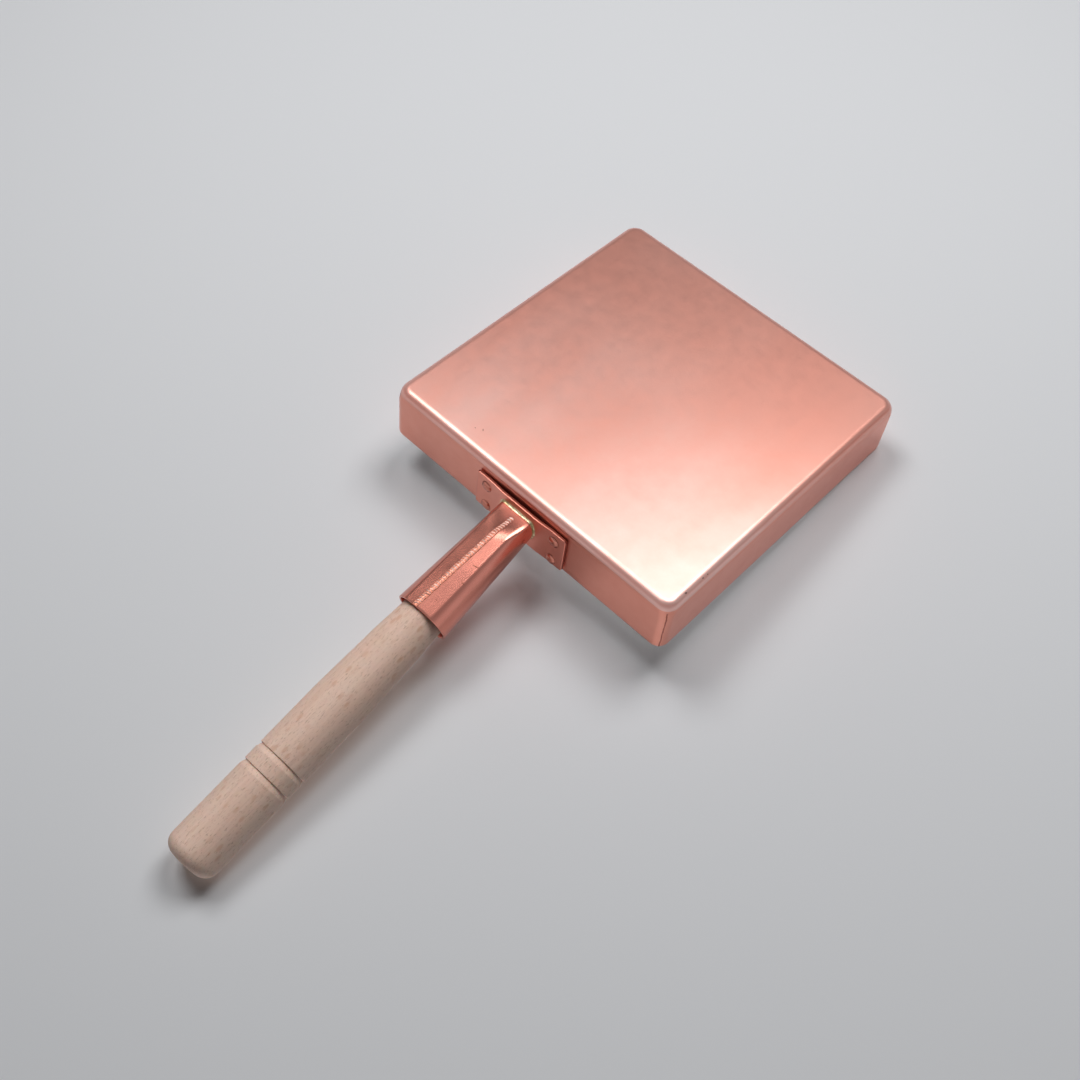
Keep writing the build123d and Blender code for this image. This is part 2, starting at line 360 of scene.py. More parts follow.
def trayShell(name, outer, inner, material, rimRound):
    top = tray["height"]
    flatIn = bendProfile(outer)[0][0] + tray["flatEdge"]
    profile = [(flatIn, outer)] + bendProfile(outer)
    if rimRound:
        for past, depth in tray["foldMark"]:
            z = tray["edgeRound"] + past
            profile.append((wallInset(outer, z) + depth, z))
    profile += [(wallInset(outer, z), z) for z in (*tray["wallStops"], top - rimRound)]
    if rimRound:
        soft = rimRound * tray["rimSoft"]
        profile += [
            (wallInset(outer, top) + soft, top - soft),
            (wallInset(outer, top) + rimRound, top),
            (wallInset(inner, top) - rimRound, top),
            (wallInset(inner, top) - soft, top - soft),
        ]
        stops = (top - rimRound, *tray["wallStops"][::-1])
        profile += [(wallInset(inner, z), z) for z in stops]
    else:
        profile.append((wallInset(inner, top), top))
    profile += bendProfile(inner)[::-1] + [(flatIn, inner)]
    verts = []
    for inset, z in profile:
        stations = trayStations(cornerAt(z))
        reach = cornerAt(z) - inset
        verts += [(cx + reach * nx, cy + reach * ny, z) for cx, cy, nx, ny in stations]
    count = len(stations)
    faces = gridFaces(len(profile), count)
    faces += [tuple(range(count)), tuple(range(len(verts) - count, len(verts)))]
    return makePiece(name, verts, faces, material)


panBody = trayShell("panBody", 0.0, tray["wall"], panCopper, tray["rimRound"])
panBody.data.materials.append(wallCopper)
for face in panBody.data.polygons:
    face.material_index = 0 if face.center.z < tray["baseUpTo"] * mm else 1
finishPiece(panBody, "copper", "pan_body")
marked(panCopper, tray["markTone"], tray["marks"])

wiped = {
    "swirl": (38, 5, 0.6), "swirlStretch": (1, 5, 1), "swirlTurn": (0, 0, 0.5),
    "pale": (0.80, 0.79, 0.77), "dull": (0.62, 0.61, 0.60), "stain": (0.70, 0.64, 0.56),
    "cloud": (22, 4), "stainEdges": (0.45, 0.7), "stainShare": 0.3,
}
tinMetal, tree, shader, place = newMaterial("tinMetal", Metallic=1.0)
swirl = stretched(tree, place, wiped["swirlStretch"], wiped["swirlTurn"])
swirl = noiseAt(tree, swirl, *wiped["swirl"])
stained = mask(tree, noiseAt(tree, place, *wiped["cloud"]), *wiped["stainEdges"])
tone = mixed(tree, mask(tree, swirl, 0.3, 0.7), wiped["pale"], wiped["dull"])
fill(tree, shader, {
    "Base Color": mixed(tree, stained, tone, wiped["stain"], wiped["stainShare"]),
    "Roughness": ramp(tree, swirl, (0.25, 0.26), (0.75, 0.42)),
    "Normal": relief(tree, swirl, 0.3, 0.0003),
})
clear, thick = tray["tinClear"], tray["tin"]
tinLining = trayShell("tinLining", tray["wall"] + clear, tray["wall"] + thick, tinMetal, 0)
finishPiece(tinLining, "tin", "tin_lining")
print("tray made")

# upright corner seams
cornerSeam = {
    "width": 0.36, "crown": 0.05, "sunk": 0.05, "start": 5.0, "rows": 60, "drift": 0.25,
    "section": ((-1.0, 0.0), (-0.6, 0.4), (0.0, 1.0), (0.6, 0.4), (1.0, 0.0)),  # across, crown
    "overRim": 0.02, "dark": (0.24, 0.06, 0.04), "pale": (0.46, 0.16, 0.11),
}
seamDark, tree, shader, place = newMaterial("seamDark", Metallic=0.85, Roughness=0.55)
burnt = mask(tree, noiseAt(tree, place, 500, 3), 0.35, 0.65)
fill(tree, shader, {"Base Color": mixed(tree, burnt, cornerSeam["dark"], cornerSeam["pale"])})
for end, sy in (("front", -1), ("back", 1)):
    for side, sx in (("left", -1), ("right", 1)):
        verts = []
        rows, top = cornerSeam["rows"], tray["height"]
        middle = atan2(sy, sx)
        for i in range(rows + 1):
            z = between(cornerSeam["start"], top, i / rows)
            width = cornerSeam["width"] * (1 + 0.5 * sway(z * 0.9, sx * 3, sy * 5))
            drift = cornerSeam["drift"] * sway(z * 0.25, sx, sy * 7)
            reach = halfBase - cornerAt(z)
            out = cornerAt(z) - wallInset(0, z)
            for k, crown in cornerSeam["section"]:
                turn = middle + (drift + k * width) / out
                radius = out + (cornerSeam["crown"] * crown if crown else -cornerSeam["sunk"])
                verts.append((sx * reach + radius * cos(turn), sy * reach + radius * sin(turn), z))
        radius = out - tray["wall"] - tray["tinClear"]
        for k, crown in cornerSeam["section"]:  # closed over the rim
            turn = middle + k * width / out
            x, y = sx * reach + radius * cos(turn), sy * reach + radius * sin(turn)
            verts.append((x, y, top + cornerSeam["overRim"]))
        faces = gridFaces(rows + 2, len(cornerSeam["section"]), closed=False)
        piece = makePiece(f"cornerSeam.{end}.{side}", verts, faces, seamDark)
        finishPiece(piece, "seam", f"corner_braze_{end}_{side}")

# plate on the front wall
plate = {
    "width": 58.0, "height": 23.6, "wall": 1.5, "corner": 1.6, "drop": 1.0, "edge": 0.28,
    "hump": 0.7, "humpHalf": 10.5, "ramp": 11.0, "lift": 0.55, "waver": 0.03,
    "columns": 60, "cornerSteps": 8, "capInset": 0.9, "edgeFacing": 0.3,
}
plateTop = tray["height"] / cos(lean) - plate["drop"]
wallFrame = Matrix((  # across, up the wall, out of it
    (1, 0, 0, 0),
    (0, -sin(lean), -cos(lean), -halfBase),
    (0, cos(lean), -sin(lean), 0),
    (0, 0, 0, 1),
))
wallOut = wallFrame.to_3x3() @ Vector((0, 0, 1))


def humpAt(x):
    return plate["hump"] * ease((plate["humpHalf"] + plate["ramp"] - abs(x)) / plate["ramp"])


def plateLoop(inset, depth):
    radius = plate["corner"] - inset
    flat = plate["width"] / 2 - plate["corner"]
    columns = plate["columns"]
    turns = quarter(plate["cornerSteps"])
    points = []
    for way, high in (
        (1, plateTop - plate["corner"]), (-1, plateTop - plate["height"] + plate["corner"]),
    ):
        row = [(-flat - radius * cos(a), high + way * radius * sin(a)) for a in turns[:-1]]
        row += [(flat * (k / columns * 2 - 1), high + way * radius) for k in range(columns + 1)]
        row += [(flat + radius * sin(a), high + way * radius * cos(a)) for a in turns[1:]]
        points += row[::way]
    placed = []
    for x, y in points:
        waver = plate["waver"] * sway(x * 0.2, y * 0.2)
        placed.append(wallFrame @ Vector((x, y, plate["lift"] + depth + humpAt(x) + waver)))
    return placed


plateCopper = copperMaterial(
    "plateCopper", (0.78, 0.31, 0.235), (0.62, 0.22, 0.155), rough=0.33, lines=(1, 1, 14),
)
# dark copper for the plate's edge faces and the rivets' foot rings: painted shade, standing in for
# their dark reflections and crevices
plateEdgeShade = copperMaterial("plateEdgeShade", (0.24, 0.07, 0.05), (0.12, 0.035, 0.025), rough=0.5)
e, w, cap = plate["edge"], plate["wall"], plate["capInset"]
loops = [(cap, 0), (e, 0), (0.3 * e, 0.3 * e), (0, e), (0, w - e), (0.3 * e, w - 0.3 * e)]
loops += [(e, w), (cap, w)]
verts = [point for inset, depth in loops for point in plateLoop(inset, depth)]
count = len(verts) // len(loops)
faces = gridFaces(len(loops), count)
for first in (0, len(verts) - count):
    last = first + count - 1
    faces += [(first + k, first + k + 1, last - 1 - k, last - k) for k in range(count // 2 - 1)]
handlePlate = makePiece("handlePlate", verts, faces, plateCopper)
handlePlate.data.materials.append(plateEdgeShade)
# the edge faces take the dark copper, a painted shade
for face in handlePlate.data.polygons:
    face.material_index = 1 if abs(face.normal.dot(wallOut)) < plate["edgeFacing"] else 0
finishPiece(handlePlate, "copper", "handle_plate")

# rivets, set out by a node tree
rivets = {
    "across": 43.8, "rows": 14.0, "top": 3.1, "headRadius": 3.0, "headHeight": 1.75,
    "headSteps": 10, "fullness": 0.85, "ring": 0.5, "innerRadius": 2.9, "innerHeight": 0.8,
    "innerSlope": 0.5, "shank": 1.6, "axis": 0.02, "columns": 40, "dents": 0.03, "uneven": 0.04,
    "seed": 4, "tilt": 0.05, "fullTurn": 6.28,
}
r = rivets
rivetCopper = copperMaterial(
    "rivetCopper", (0.62, 0.235, 0.17), (0.42, 0.14, 0.095), rough=0.22, bump=0.25,
)
stack = tray["wall"] + tray["tin"]
rivetFoot = plate["wall"] + plate["lift"]
rivetProfile = [(r["axis"], plate["wall"] + r["headHeight"])]
for a in quarter(r["headSteps"])[1:-1]:
    high = plate["wall"] + r["headHeight"] * cos(a) ** r["fullness"]
    rivetProfile.append((r["headRadius"] * sin(a) + r["axis"], high))
rivetProfile += [
    (r["headRadius"], rivetFoot + 0.12), (r["headRadius"] + 0.05, rivetFoot + 0.05),
    (r["headRadius"] + r["ring"], rivetFoot + 0.01),
    (r["shank"], plate["wall"]), (r["shank"], -stack + 0.05),
    (r["innerRadius"], -stack), (r["innerRadius"], -stack - 0.3),
    (r["innerRadius"] - r["innerSlope"], -stack - r["innerHeight"]),
    (r["axis"], -stack - r["innerHeight"] - 0.05),
]


def dented(z, x, y):
    wide, deep = sway(z * 3 + 7, x, y), sway(x, z * 3, y)
    high = z + r["uneven"] * sway(x * 1.1, y * 1.1, 5)
    return x * (1 + r["dents"] * wide), y * (1 + r["dents"] * deep), high


rivetModel = makePiece("rivetModel", *turned(rivetProfile, r["columns"], dented), rivetCopper, 50)


def geometryTree(name, inputs):
    tree = bpy.data.node_groups.new(name, "GeometryNodeTree")
    inputs = (("Geometry", "Geometry", None), *inputs)
    for label, kind, value in inputs:
        kind = "NodeSocket" + kind
        socket = tree.interface.new_socket(name=label, in_out="INPUT", socket_type=kind)
        if value is not None:
            socket.default_value = value
    kind = "NodeSocketGeometry"
    tree.interface.new_socket(name="Geometry", in_out="OUTPUT", socket_type=kind)
    return tree, addNode(tree, "NodeGroupInput").outputs


def setOut(tree, points, model, copper, **values):
    # the tree's end: the model on every point, made real and given its copper
    model = addNode(tree, "GeometryNodeObjectInfo", {"Object": model}).outputs["Geometry"]
    values.update({"Points": points, "Instance": model})
    placed = addNode(tree, "GeometryNodeInstanceOnPoints", values).outputs[0]
    real = addNode(tree, "GeometryNodeRealizeInstances", {"Geometry": placed}).outputs[0]
    values = {"Geometry": real, "Material": copper}
    dressed = addNode(tree, "GeometryNodeSetMaterial", values).outputs[0]
    addNode(tree, "NodeGroupOutput", {"Geometry": dressed})


def applyTree(carrier, tree, values, name):
    # runs the tree on the carrier, and keeps what it makes as a plain mesh
    modifier = carrier.modifiers.new("nodes", "NODES")
    modifier.node_group = tree
    for item in tree.interface.items_tree:
        if item.in_out == "INPUT" and item.name in values:
            modifier[item.identifier] = values[item.name]
    carrier.update_tag()
    bpy.context.view_layer.update()
    seen = carrier.evaluated_get(bpy.context.evaluated_depsgraph_get())
    mesh = bpy.data.meshes.new_from_object(seen)
    mesh.name = name
    bpy.data.objects.remove(carrier)
    return addObject(name, mesh)


rivetTree, given = geometryTree("rivetRows", (
    ("Across", "Float", 0.04), ("Rows", "Float", 0.01), ("Tilt", "Float", 0.05),
    ("Seed", "Int", 1), ("Rivet", "Object", None), ("Copper", "Material", None),
))
places = addNode(rivetTree, "GeometryNodeMeshGrid", {
    "Size X": given["Across"], "Size Y": given["Rows"], "Vertices X": 2, "Vertices Y": 2,
})
tiltBack = sums(rivetTree, "MULTIPLY", given["Tilt"], -1.0)
low, high = [
    addNode(rivetTree, "ShaderNodeCombineXYZ", {"X": tilt, "Y": tilt, "Z": turn}).outputs[0]
    for tilt, turn in ((tiltBack, 0.0), (given["Tilt"], r["fullTurn"]))
]
values = {0: low, 1: high, "Seed": given["Seed"]}
turns = addNode(rivetTree, "FunctionNodeRandomValue", values, data_type="FLOAT_VECTOR")
setOut(
    rivetTree, places.outputs["Mesh"], given["Rivet"], given["Copper"], Rotation=turns.outputs[0],
)
rivetSet = applyTree(addObject("carrier", bpy.data.meshes.new("carrier")), rivetTree, {
    "Across": r["across"] * mm, "Rows": r["rows"] * mm, "Tilt": r["tilt"], "Seed": r["seed"],
    "Rivet": rivetModel, "Copper": rivetCopper,
}, "rivetSet")
bpy.data.objects.remove(rivetModel)
rivetPlace = wallFrame @ Matrix.Translation((0, plateTop - r["top"] - r["rows"] / 2, 0))
rivetPlace.translation = rivetPlace.translation * mm
rivetSet.data.transform(rivetPlace)
rivetSet.data.materials.append(plateEdgeShade)
toWall = wallFrame.inverted()
for face in rivetSet.data.polygons:  # the fine ring at each foot is painted dark, a painted shade in its crevice
    if abs((toWall @ (face.center / mm)).z - rivetFoot) < 0.1:
        face.material_index = 1
heads = [f"rivet_{row}_{side}" for row in ("upper", "lower") for side in ("left", "right")]
finishPiece(rivetSet, "copper", *heads)
print("plate and rivets made")

# handle line
line = {"rise": 12.8, "swing": 2.0, "offset": 0.85, "drop": 13.0, "stand": 2.6}
rise, swing = radians(line["rise"]), radians(line["swing"])
wayOut = Vector((-sin(swing) * cos(rise), -cos(swing) * cos(rise), sin(rise)))
wayAcross = Vector((cos(swing), -sin(swing), 0))
wayUp = wayOut.cross(wayAcross)
rootPoint = wallFrame @ Vector((line["offset"], plateTop - line["drop"], line["stand"]))


def onLine(distance, across, up):
    return rootPoint + wayOut * distance + wayAcross * across + wayUp * up


# socket: a tapered tube with two flats below that meet in a ridge, pressed in at its root
socket = {
    "length": 66.0, "wall": 1.0, "rootRadius": 11.0, "mouthRadius": 14.35,
    "ridgeStart": 13.0, "startRidge": 10.2, "mouthRidge": 13.4,
    "startShift": -0.6, "mouthShift": 1.5, "flatReach": 8.1, "bend": 0.35, "ridgeBend": 0.2,
    "pressUnder": 6.2, "pressEnd": 14.0, "pressRadius": 70.0, "pressBend": 1.6, "pressTop": -0.15,
    "columns": 216, "rows": 84, "innerRows": 19, "waver": 0.07, "rootSink": 0.15,
    "edge": 0.35, "edgeSoft": 0.12, "edgeIn": 0.06, "edgeRound": 0.28,
    "uneven": 0.12, "unevenBack": 0.06, "markTone": (0.22, 0.07, 0.045),
    "marks": (
        ((-6.3, -126.8, 15.2), -0.28, (2.1, 0.32, 1.0)),
        ((-7.6, -136.5, 17.0), 0.1, (1.4, 0.3, 1.2)),
        ((-5.2, -150.6, 18.9), 0, (0.35, 0.35, 0.5)),
    ),
}
s = socket
ridgeFoot = Vector((s["startShift"], -s["startRidge"], s["ridgeStart"]))
ridgeMouth = Vector((s["mouthShift"], -s["mouthRidge"], s["length"]))
flatNormals = []
for reachWay in (-1, 1):
    down = -sqrt(s["mouthRadius"] ** 2 - s["flatReach"] ** 2)
    edge = Vector((reachWay * s["flatReach"], down, s["length"]))
    normal = (ridgeMouth - ridgeFoot).cross(edge - ridgeFoot).normalized()
    flatNormals.append(-normal if normal.y > 0 else normal)
# the press is an arc, in distance and height, from under the root to where it has faded out
pressChord = Vector((s["pressEnd"], s["pressUnder"] - s["startRidge"]))
pressSink = sqrt(s["pressRadius"] ** 2 - (pressChord.length / 2) ** 2)
pressWay = Vector((pressChord.y, -pressChord.x)).normalized()
pressMiddle = Vector((s["pressEnd"] / 2, -(s["pressUnder"] + s["startRidge"]) / 2))
pressMiddle += pressWay * pressSink


def tubeRadius(distance, turn):
    across, up = cos(turn), sin(turn)
    radius = between(s["rootRadius"], s["mouthRadius"], distance / s["length"])
    flats = []
    for normal in flatNormals:
        toward = normal.x * across + normal.y * up
        gap = normal.dot(ridgeFoot - Vector((0, 0, distance)))
        flats.append(gap / toward if toward > 0.05 else 99)
    radius = softMin(radius, softMin(*flats, s["ridgeBend"]), s["bend"])
    inside = s["pressRadius"] ** 2 - (distance - pressMiddle.x) ** 2
    if up < s["pressTop"] and inside > 0:
        press = (pressMiddle.y + sqrt(inside)) / up
        if press > 0:
            radius = softMin(radius, press, s["pressBend"])
    return radius


def rootStart(turn):
    # how far along the line the tube meets the plate's plane, found in a few rounds
    facing = (wayAcross * cos(turn) + wayUp * sin(turn)).dot(wallOut)
    distance = 0
    for _ in range(6):
        distance = -tubeRadius(distance, turn) * facing / wayOut.dot(wallOut)
    return distance


def tubePoint(distance, turn, sink=0.0):
    radius = tubeRadius(distance, turn) - sink
    return onLine(distance, radius * cos(turn), radius * sin(turn))


socketCopper = copperMaterial(
    "socketCopper", (0.66, 0.25, 0.19), (0.48, 0.16, 0.11),
    deepening=0.3, rough=0.24, lines=(8, 1, 8), bump=0.08,
)
columns = circle(s["columns"])
starts = [rootStart(turn) - s["rootSink"] for turn in columns]
verts = []
for i in range(s["rows"]):
    for turn, start in zip(columns, starts):
        distance = between(start, s["length"] - s["edge"], i / (s["rows"] - 1))
        waver = sway(distance * 0.06, cos(turn) * 1.5, sin(turn) * 1.5)
        waver *= s["waver"] * ease(distance / 8)
        verts.append(tubePoint(distance, turn, -waver))
rim = [(s["edgeIn"], s["edgeSoft"]), (s["edgeRound"], 0)]  # how deep in the sheet, and how far back
rim += [(s["wall"] - sink, back) for sink, back in rim[::-1]] + [(s["wall"], s["edge"])]
for sink, back in rim:
    for turn in columns:
        uneven = s["uneven"] * sway(cos(turn) * 2.5, sin(turn) * 2.5, 9) - s["unevenBack"]
        verts.append(tubePoint(s["length"] - back + uneven, turn, sink))
for i in range(1, s["innerRows"] + 1):
    for turn, start in zip(columns, starts):
        distance = between(s["length"], start, i / s["innerRows"])
        verts.append(tubePoint(distance, turn, s["wall"]))
cols, last = s["columns"], len(verts) - s["columns"]
faces = gridFaces(len(verts) // cols, cols)
faces += [(k, last + k, last + (k + 1) % cols, (k + 1) % cols) for k in range(cols)]
handleSocket = makePiece("handleSocket", verts, faces, socketCopper, 60)
finishPiece(handleSocket, "copper", "handle_socket")

# brazed seam along the socket's underside: a band with raised edges, and ripples across it
seam = {
    "start": 2.4, "end": 65.6, "half": 1.6, "rows": 150, "columns": 16, "crown": 0.05,
    "edgeHeight": 0.24, "edgeAt": 0.86, "edgeHalf": 0.14, "sunk": 0.08,
    "fade": 3, "narrow": 0.55, "waver": 0.12,
    "pitch": 1.5, "skew": 0.5, "seed": 11, "clear": (1.0, 1.5), "stops": 40,
    "rippleHeight": 0.62, "rippleHalf": 1.32, "rippleSteps": 12, "bow": 0.45, "taper": 0.7,
    "rippleSink": 0.03, "rippleSizes": ((0.8, 0.7, 0.6), (1.05, 1.2, 1.25)),
    "section": ((-0.34, 0.0), (-0.18, 0.7), (0.0, 1.0), (0.18, 0.7), (0.34, 0.0)),
}
# the ripples' pale copper is a painted highlight on their crests, and the band's dark copper is
# painted shade in the gaps between them
seamHighlightCopper = copperMaterial(
    "seamHighlightCopper", (1.0, 0.85, 0.79), (0.92, 0.62, 0.54), rough=0.32, bump=0.4,
)
seamShadeBed = copperMaterial(
    "seamShadeBed", (0.56, 0.23, 0.16), (0.30, 0.10, 0.065), deepening=0.7, rough=0.38, bump=0.4,
)


def ridgeTurn(distance, aside=0.0):
    share = (distance - s["ridgeStart"]) / (s["length"] - s["ridgeStart"])
    across = between(s["startShift"], s["mouthShift"], share) + aside
    return atan2(-between(s["startRidge"], s["mouthRidge"], share), across)


verts, profile = [], []
for k in range(seam["columns"] + 1):
    side = k / seam["columns"] * 2 - 1
    crown = seam["crown"] * (1 - side * side)
    crown += seam["edgeHeight"] * ease(1 - abs(abs(side) - seam["edgeAt"]) / seam["edgeHalf"])
    profile.append((side, crown if abs(side) < 1 else -seam["sunk"]))
for i in range(seam["rows"]):
    distance = between(seam["start"], seam["end"], i / (seam["rows"] - 1))
    fade = ease((distance - seam["start"]) / seam["fade"])
    for side, crown in profile:
        width = seam["half"] * (1 + seam["waver"] * sway(distance * 0.35, side > 0, 3))
        aside = side * width * between(seam["narrow"], 1, fade)
        rise = crown * fade if crown > 0 else crown
        verts.append(tubePoint(distance, ridgeTurn(distance, aside), -rise))
faces = gridFaces(seam["rows"], len(profile), closed=False)
seamBand = makePiece("seamBand", verts, faces, seamShadeBed, 80)
finishPiece(seamBand, "seam", "socket_seam")

verts = []
for k in range(seam["rippleSteps"] + 1):
    side = k / seam["rippleSteps"] * 2 - 1
    taper = 1 - seam["taper"] * abs(side) ** 3
    for across, lift in seam["section"]:
        high = seam["rippleHeight"] * lift * taper - seam["rippleSink"]
        verts.append((side * seam["rippleHalf"], seam["bow"] * side * side + across * taper, high))
faces = gridFaces(seam["rippleSteps"] + 1, len(seam["section"]), closed=False)
rippleModel = makePiece("rippleModel", verts, faces, seamHighlightCopper, 80)

rippleTree, given = geometryTree("seamRipples", (
    ("Pitch", "Float", 0.0015), ("Skew", "Float", 0.4), ("Seed", "Int", 1),
    ("Ripple", "Object", None), ("Copper", "Material", None),
))
values = {"Curve": given["Geometry"], "Length": given["Pitch"]}
points = addNode(rippleTree, "GeometryNodeResampleCurve", values, mode="LENGTH").outputs[0]
tangent = addNode(rippleTree, "GeometryNodeInputTangent").outputs[0]
values = {"Primary Axis": tangent, "Secondary Axis": -wayUp}
facing = addNode(
    rippleTree, "FunctionNodeAxesToRotation", values, primary_axis="Y", secondary_axis="Z",
)
skewBack = sums(rippleTree, "MULTIPLY", given["Skew"], -0.5)
values = {2: skewBack, 3: given["Skew"], "Seed": given["Seed"]}
wobble = addNode(rippleTree, "FunctionNodeRandomValue", values, data_type="FLOAT").outputs[1]
values = {"Axis": (0, 0, 1), "Angle": wobble}
spin = addNode(rippleTree, "FunctionNodeAxisAngleToRotation", values)
values = {"Rotation": facing.outputs[0], "Rotate By": spin.outputs[0]}
skewed = addNode(rippleTree, "FunctionNodeRotateRotation", values, rotation_space="LOCAL")
values = {0: seam["rippleSizes"][0], 1: seam["rippleSizes"][1], "Seed": given["Seed"]}
sizes = addNode(rippleTree, "FunctionNodeRandomValue", values, data_type="FLOAT_VECTOR")
setOut(
    rippleTree, points, given["Ripple"], given["Copper"],
    Rotation=skewed.outputs[0], Scale=sizes.outputs[0],
)
ridgeCurve = bpy.data.curves.new("ridgeLine", "CURVE")
ridgeCurve.dimensions = "3D"
spline = ridgeCurve.splines.new("POLY")
spline.points.add(seam["stops"])
first, end = seam["start"] + seam["clear"][0], seam["end"] - seam["clear"][1]
for k, point in enumerate(spline.points):
    distance = between(first, end, k / seam["stops"])
    point.co = (*(tubePoint(distance, ridgeTurn(distance), -0.09) * mm), 1)
seamRipples = applyTree(addObject("ridgeLine", ridgeCurve), rippleTree, {
    "Pitch": seam["pitch"] * mm, "Skew": seam["skew"], "Seed": seam["seed"],
    "Ripple": rippleModel, "Copper": seamHighlightCopper,
}, "seamRipples")
bpy.data.objects.remove(rippleModel)
finishPiece(seamRipples, "seam")
marked(socketCopper, socket["markTone"], socket["marks"])
print("socket and seam made")

# brass fillet round the root
brazing = {
    "leg": 1.3, "columns": 220, "steps": 7, "lumps": 0.35, "grains": 0.2, "proud": 0.06,
    "patches": (190, 3, 0.6), "specks": (1500, 3, 0.6),
    "bright": (0.80, 0.66, 0.43), "tarnish": (0.33, 0.25, 0.12), "speck": (0.20, 0.15, 0.08),
}
brassFillet, tree, shader, place = newMaterial("brassFillet", Metallic=1.0)
patches = noiseAt(tree, place, *brazing["patches"])
specks = noiseAt(tree, place, *brazing["specks"])
tone = mixed(tree, mask(tree, patches, 0.42, 0.6), brazing["bright"], brazing["tarnish"])
fill(tree, shader, {
    "Base Color": mixed(tree, mask(tree, specks, 0.55, 0.7), tone, brazing["speck"]),
    "Roughness": ramp(tree, specks, (0.3, 0.26), (0.7, 0.5)),
    "Normal": relief(tree, patches, 0.6, 0.0004),
})
verts = []
for turn in circle(brazing["columns"]):
    start = rootStart(turn)
    foot = tubePoint(start, turn)
    outward = tubePoint(start, turn, -1) - foot
    outward = (outward - wallOut * outward.dot(wallOut)).normalized()
    upTube = (tubePoint(start + 2, turn) - foot).normalized()
    lumps = brazing["lumps"] * sway(cos(turn) * 4, sin(turn) * 4, 2)
    lumps += brazing["grains"] * sway(cos(turn) * 14, sin(turn) * 14, 4)
    leg = brazing["leg"] * (1 + lumps)
    for a in quarter(brazing["steps"]):
        aside, along = leg * (1 - sin(a)) + brazing["proud"], leg * (1 - cos(a)) - 0.02
        verts.append(foot + outward * aside + upTube * along + wallOut * 0.02)
    # its hidden sides, sunk in the tube and the plate
    verts.append(foot + upTube * (leg * 1.05) - outward * 0.15)
    verts.append(foot - outward * 0.3 - wallOut * 0.15)
    verts.append(foot + outward * (leg + 0.1) - wallOut * 0.15)
cols = brazing["steps"] + 4
last = len(verts) - cols
faces = gridFaces(brazing["columns"], cols)
faces += [(last + j, last + (j + 1) % cols, (j + 1) % cols, j) for j in range(cols)]
rootBraze = makePiece("rootBraze", verts, faces, brassFillet, 60)
finishPiece(rootBraze, "braze", "root_braze")

# turned handle
handle = {
    "end": 214.2, "grip": 13.35, "neck": 11.2, "mouth": 66.0, "shoulder": 84.0,
    "shoulderRadius": 12.25, "gripStart": 121.0, "tenonStart": 30.0, "tenonRadius": 9.5,
    "grooves": (154.8, 164.6), "grooveDepth": 0.9, "grooveSteep": 0.5, "grooveSlope": 2.6,
    "grooveStops": (-0.3, 0, 0.15, 0.35, 0.5, 0.65, 1.2, 2, 2.8, 3.1, 3.4, 5, 8),
    "butt": 6.6, "buttFlat": 1.5, "axis": 0.05, "columns": 128,
    "tenonSteps": 6, "gripSteps": 50, "endSteps": 12, "buttSteps": 14,
}
h = handle


def handleRadius(distance):
    knots = (
        (h["tenonStart"], h["tenonRadius"]), (h["mouth"], h["neck"]),
        (h["shoulder"], h["shoulderRadius"]), (h["gripStart"], h["grip"]),
    )
    radius = h["grip"]
    for (a, ra), (b, rb) in zip(knots, knots[1:]):
        if a <= distance < b:
            radius = between(ra, rb, (distance - a) / (b - a))
    for start in h["grooves"]:
        beyond = distance - start
        if 0 < beyond < h["grooveSteep"]:
            radius -= h["grooveDepth"] * beyond / h["grooveSteep"]
        elif h["grooveSteep"] <= beyond < h["grooveSteep"] + h["grooveSlope"]:
            radius -= h["grooveDepth"] * (1 - (beyond - h["grooveSteep"]) / h["grooveSlope"])
    return radius


def evenStops(a, b, steps):
    return [between(a, b, k / steps) for k in range(steps)]


tenonEnd, buttStart = h["mouth"], h["end"] - h["butt"]
stops = evenStops(h["tenonStart"], tenonEnd, h["tenonSteps"])
stops += evenStops(tenonEnd, h["grooves"][0] - 1, h["gripSteps"]) + [h["grooves"][0] - 1]
stops += [start + past for start in h["grooves"] for past in h["grooveStops"]]
stops = [t for t in sorted(set(stops)) if t < buttStart]
stops += evenStops(stops[-1], buttStart, h["endSteps"])[1:]
turnedLine = [(h["axis"], h["tenonStart"])] + [(handleRadius(t), t) for t in stops]
for a in quarter(h["buttSteps"]):
    turnedLine.append((h["grip"] - h["butt"] * (1 - cos(a)), h["end"] - h["butt"] * (1 - sin(a))))
turnedLine.append((h["grip"] - h["butt"] - h["buttFlat"], h["end"] + 0.02))
turnedLine.append((h["axis"], h["end"] + 0.05))
verts, faces = turned(turnedLine, h["columns"], onLine)
faces += [tuple(range(h["columns"])), tuple(range(len(verts) - h["columns"], len(verts)))]

wood = {
    "streaks": (700, 4, 0.65), "streakStretch": (0.05, 1, 1), "streakEdges": (0.3, 0.72),
    "pale": (0.90, 0.65, 0.53), "deep": (0.78, 0.53, 0.415),
    "bands": (90, 3), "bandStretch": (0.10, 1, 1), "bandEdges": (0.35, 0.7),
    "bandTone": (0.92, 0.71, 0.59), "bandShare": 0.45,
    "pores": (2300, 2, 0.5), "poreStretch": (0.22, 1, 1), "poreShift": (0.3, 0.1, 0),
    "poreEdges": (0.60, 0.67), "poreTone": (0.50, 0.29, 0.20), "poreShare": 0.6,
    "fleckScale": 300.0, "fleckStretch": (0.45, 1, 1), "fleckStops": ((0.20, 1.0), (0.34, 0.0)),
    "fleckWhere": (60, 2), "fleckEdges": (0.46, 0.58), "fleckTone": (0.68, 0.38, 0.25),
    "fleckShare": 0.5, "bump": 0.25, "bumpDistance": 0.0002,
}
